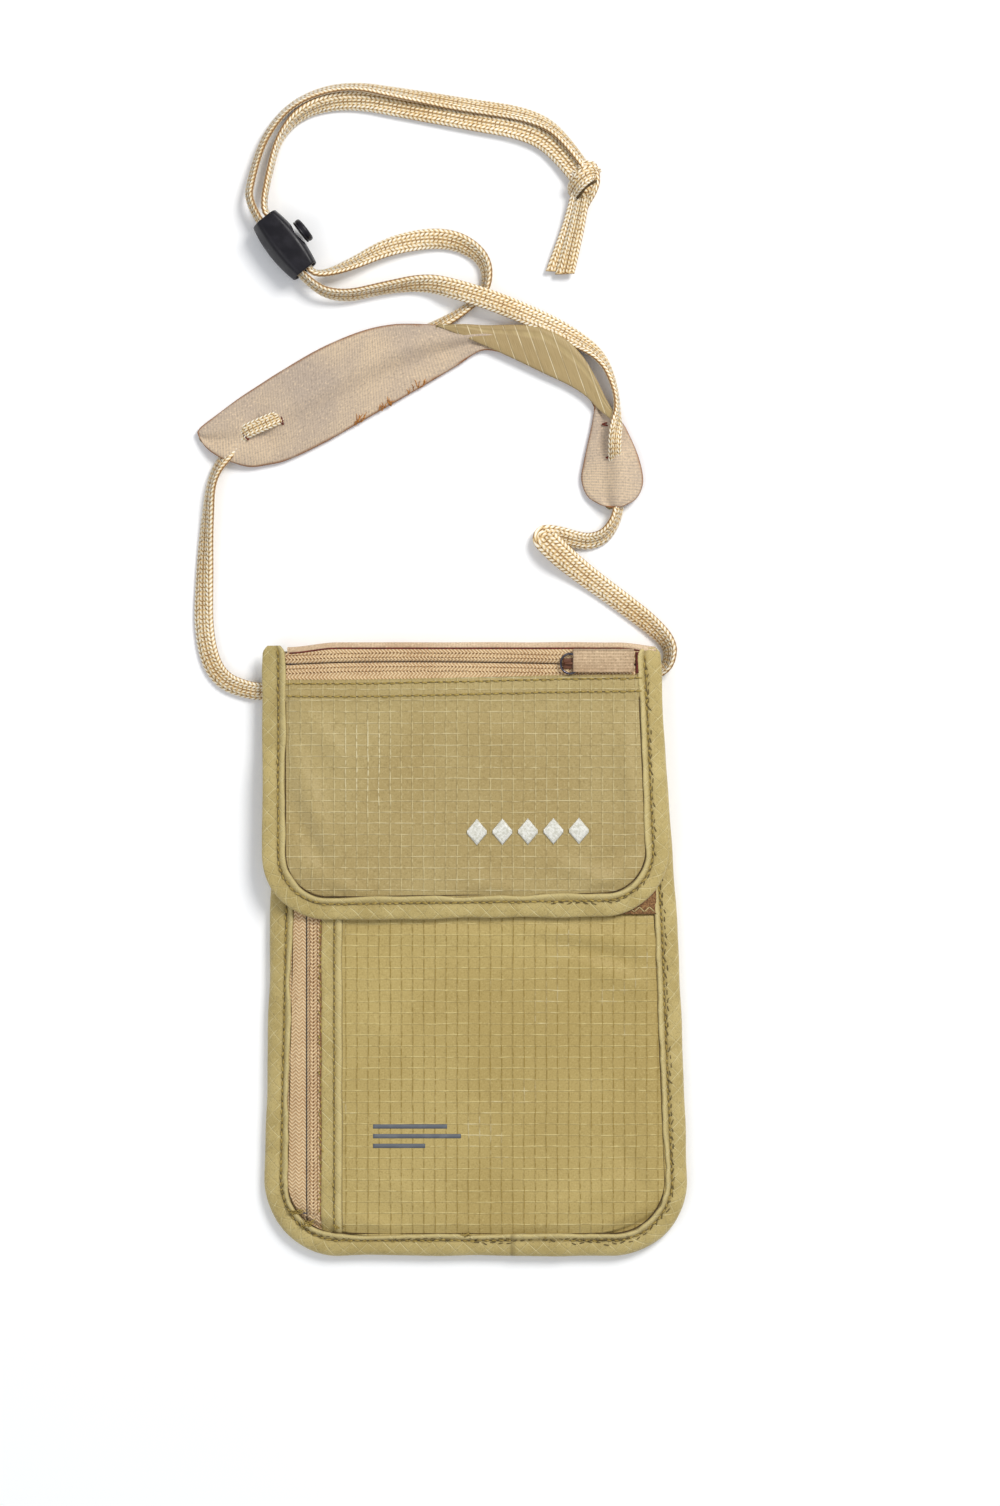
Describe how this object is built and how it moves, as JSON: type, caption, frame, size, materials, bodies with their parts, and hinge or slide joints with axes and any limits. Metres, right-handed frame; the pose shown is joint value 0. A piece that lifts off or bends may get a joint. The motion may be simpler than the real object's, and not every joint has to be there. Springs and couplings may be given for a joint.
{
  "type": "neck pouch wallet",
  "caption": "Flat ripstop neck pouch for travel papers: zipped flap, side-zip front pocket, roomy back compartment, braided neck cord with soft pad, barrel lock and knot.",
  "frame": {"origin": "on the table under the middle of the pouch's outline, the cord left out", "axes": "+X to the right of the pouch seen from its front, +Y up the pouch to the neck cord, +Z out of its front face"},
  "size_m": [0.1567, 0.3764, 0.012],
  "materials": {
    "ripstop": "matte coated ripstop weave",
    "binding_tape": "ripstop cut on the bias",
    "skin_fabric": "soft brushed knit",
    "pad_knit": "soft brushed knit",
    "liner_foil": "metallised foil cloth",
    "zip_tape": "twill tape",
    "zip_coil": "nylon coil",
    "pull_ribbon": "grosgrain ribbon",
    "loop_pile": "hook and loop pile",
    "cord_braid": "flat braid",
    "gunmetal": "dark plated metal",
    "lock_plastic": "fine satin moulded",
    "spring_steel": "bright"
  },
  "bodies": {
    "pouch": {"back_panel": "skin_fabric", "back_roll": "skin_fabric", "body_binding": "binding_tape", "cord_anchor_left": "cord_braid", "cord_anchor_right": "cord_braid", "cord_bridge_left": "cord_braid", "cord_bridge_right": "cord_braid", "cord_knot": "cord_braid", "cord_left_lower": "cord_braid", "cord_left_upper": "cord_braid", "cord_right_lower": "cord_braid", "cord_right_upper": "cord_braid", "cord_tail_left": "cord_braid", "cord_tail_right": "cord_braid", "front_panel": "ripstop", "loop_strip": "loop_pile", "middle_panel": "ripstop", "neck_pad": "pad_knit", "rfid_liner_back": "liner_foil", "rfid_liner_front": "liner_foil", "side_zip_coil_left": "zip_coil", "side_zip_coil_right": "zip_coil", "side_zip_stop": "gunmetal", "side_zip_tape_left": "zip_tape", "side_zip_tape_right": "zip_tape", "zip_placket": "ripstop"},
    "flap": {"flap_lining": "ripstop", "flap_panel": "ripstop", "flap_binding": "binding_tape", "flap_zip_tape_lower": "zip_tape", "flap_zip_tape_upper": "zip_tape", "flap_zip_coil_lower": "zip_coil", "flap_zip_coil_upper": "zip_coil", "flap_zip_stop": "gunmetal", "hook_strip": "loop_pile", "flap_fold": "skin_fabric"},
    "flap_slider": {"flap_zip_slider": "gunmetal"},
    "flap_pull": {"flap_zip_ring": "gunmetal", "flap_zip_tab": "pull_ribbon"},
    "side_slider": {"side_zip_slider": "gunmetal"},
    "side_pull": {"side_zip_ring": "gunmetal", "side_zip_tab": "pull_ribbon"},
    "cord_lock": {"cord_lock_body": "lock_plastic", "cord_lock_spring": "spring_steel"},
    "lock_button": {"cord_lock_button": "lock_plastic"}
  },
  "joints": [
    {"name": "flap_hinge", "type": "hinge", "parent": "pouch", "child": "flap", "pos_m": [0, 0.0967, 0.0083], "axis": [-1, 0, 0], "range_deg": [0, 170]},
    {"name": "flap_zip_slide", "type": "slide", "parent": "flap", "child": "flap_slider", "axis": [-1, 0, 0], "range_m": [0, 0.081]},
    {"name": "flap_pull_flip", "type": "hinge", "parent": "flap_slider", "child": "flap_pull", "pos_m": [0.0256, 0.0912, 0.0112], "axis": [0, -1, 0], "range_deg": [0, 170]},
    {"name": "side_zip_slide", "type": "slide", "parent": "pouch", "child": "side_slider", "axis": [0, -1, 0], "range_m": [0, 0.127]},
    {"name": "side_pull_swing", "type": "hinge", "parent": "side_slider", "child": "side_pull", "pos_m": [-0.0538, 0.0494, 0.00785], "axis": [0, 0, 1], "range_deg": [-25, 25]},
    {"name": "cord_lock_slide", "type": "slide", "parent": "pouch", "child": "cord_lock", "axis": [-0.617, 0.7869, 0], "range_m": [-0.002, 0.002]},
    {"name": "lock_button_press", "type": "slide", "parent": "cord_lock", "child": "lock_button", "axis": [-0.7869, -0.617, 0], "range_m": [0, 0.003], "stiffness_N_per_m": 300, "springref_m": -0.004}
  ]
}
